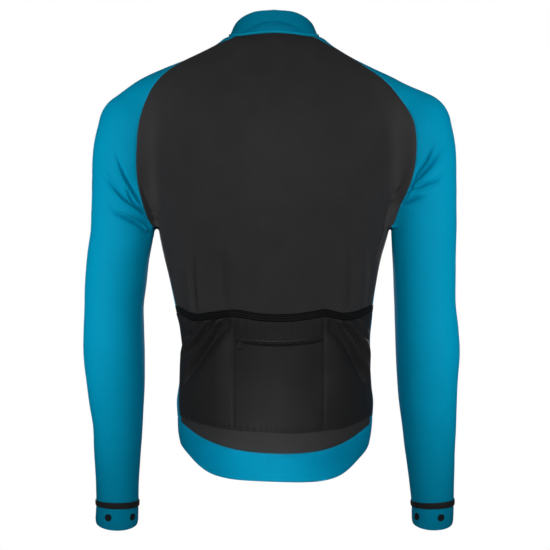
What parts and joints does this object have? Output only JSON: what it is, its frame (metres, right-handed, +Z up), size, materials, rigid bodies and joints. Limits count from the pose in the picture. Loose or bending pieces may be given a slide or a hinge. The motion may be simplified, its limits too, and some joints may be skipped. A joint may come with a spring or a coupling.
{
  "type": "thermal cycling jacket",
  "caption": "Long-sleeved thermal cycling jacket, filled out as worn, with raglan sleeves, a stand collar, a full front zip and rear pockets.",
  "frame": {"origin": "middle of the neck opening, level with the tops of the shoulders, where the shoulders of a wearer or of a body form carry the jacket", "axes": "+X to the wearer's left, +Y to the wearer's back, +Z up"},
  "size_m": [0.5626, 0.2292, 0.7744],
  "materials": {
    "black_cloth": "soft matte brushed knit, black",
    "teal_cloth": "soft matte brushed knit, blue-green",
    "elastic": "matte ribbed elastic, black",
    "zip_metal": "dark lacquered zip metal",
    "zip_tape": "black zip tape with moulded teeth"
  },
  "bodies": {
    "jacket": {"back_panel": "black_cloth", "front_left": "teal_cloth", "front_right": "teal_cloth", "sleeve_left": "teal_cloth", "sleeve_right": "teal_cloth", "collar": "teal_cloth", "collar_binding": "teal_cloth", "hem_band": "teal_cloth", "pocket_layer": "black_cloth", "pocket_band": "elastic", "pocket_zip": "zip_tape", "pocket_slider": "zip_metal", "wrist_ring_left": "elastic", "wrist_ring_right": "elastic", "cuff_left": "teal_cloth", "cuff_right": "teal_cloth", "front_zip": "zip_tape", "front_slider": "zip_metal"},
    "front_pull": {"front_pull": "zip_metal"},
    "pocket_pull": {"pocket_pull": "zip_metal"}
  },
  "joints": [
    {"name": "front_pull_swing", "type": "hinge", "parent": "jacket", "child": "front_pull", "pos_m": [0, -0.0652, -0.0391], "axis": [-1, 0, 0], "range_deg": [0, 100]},
    {"name": "pocket_pull_swing", "type": "hinge", "parent": "jacket", "child": "pocket_pull", "pos_m": [0.04958, 0.09314, -0.44593], "axis": [0.9847, -0.1742, 0], "range_deg": [0, 100]}
  ]
}
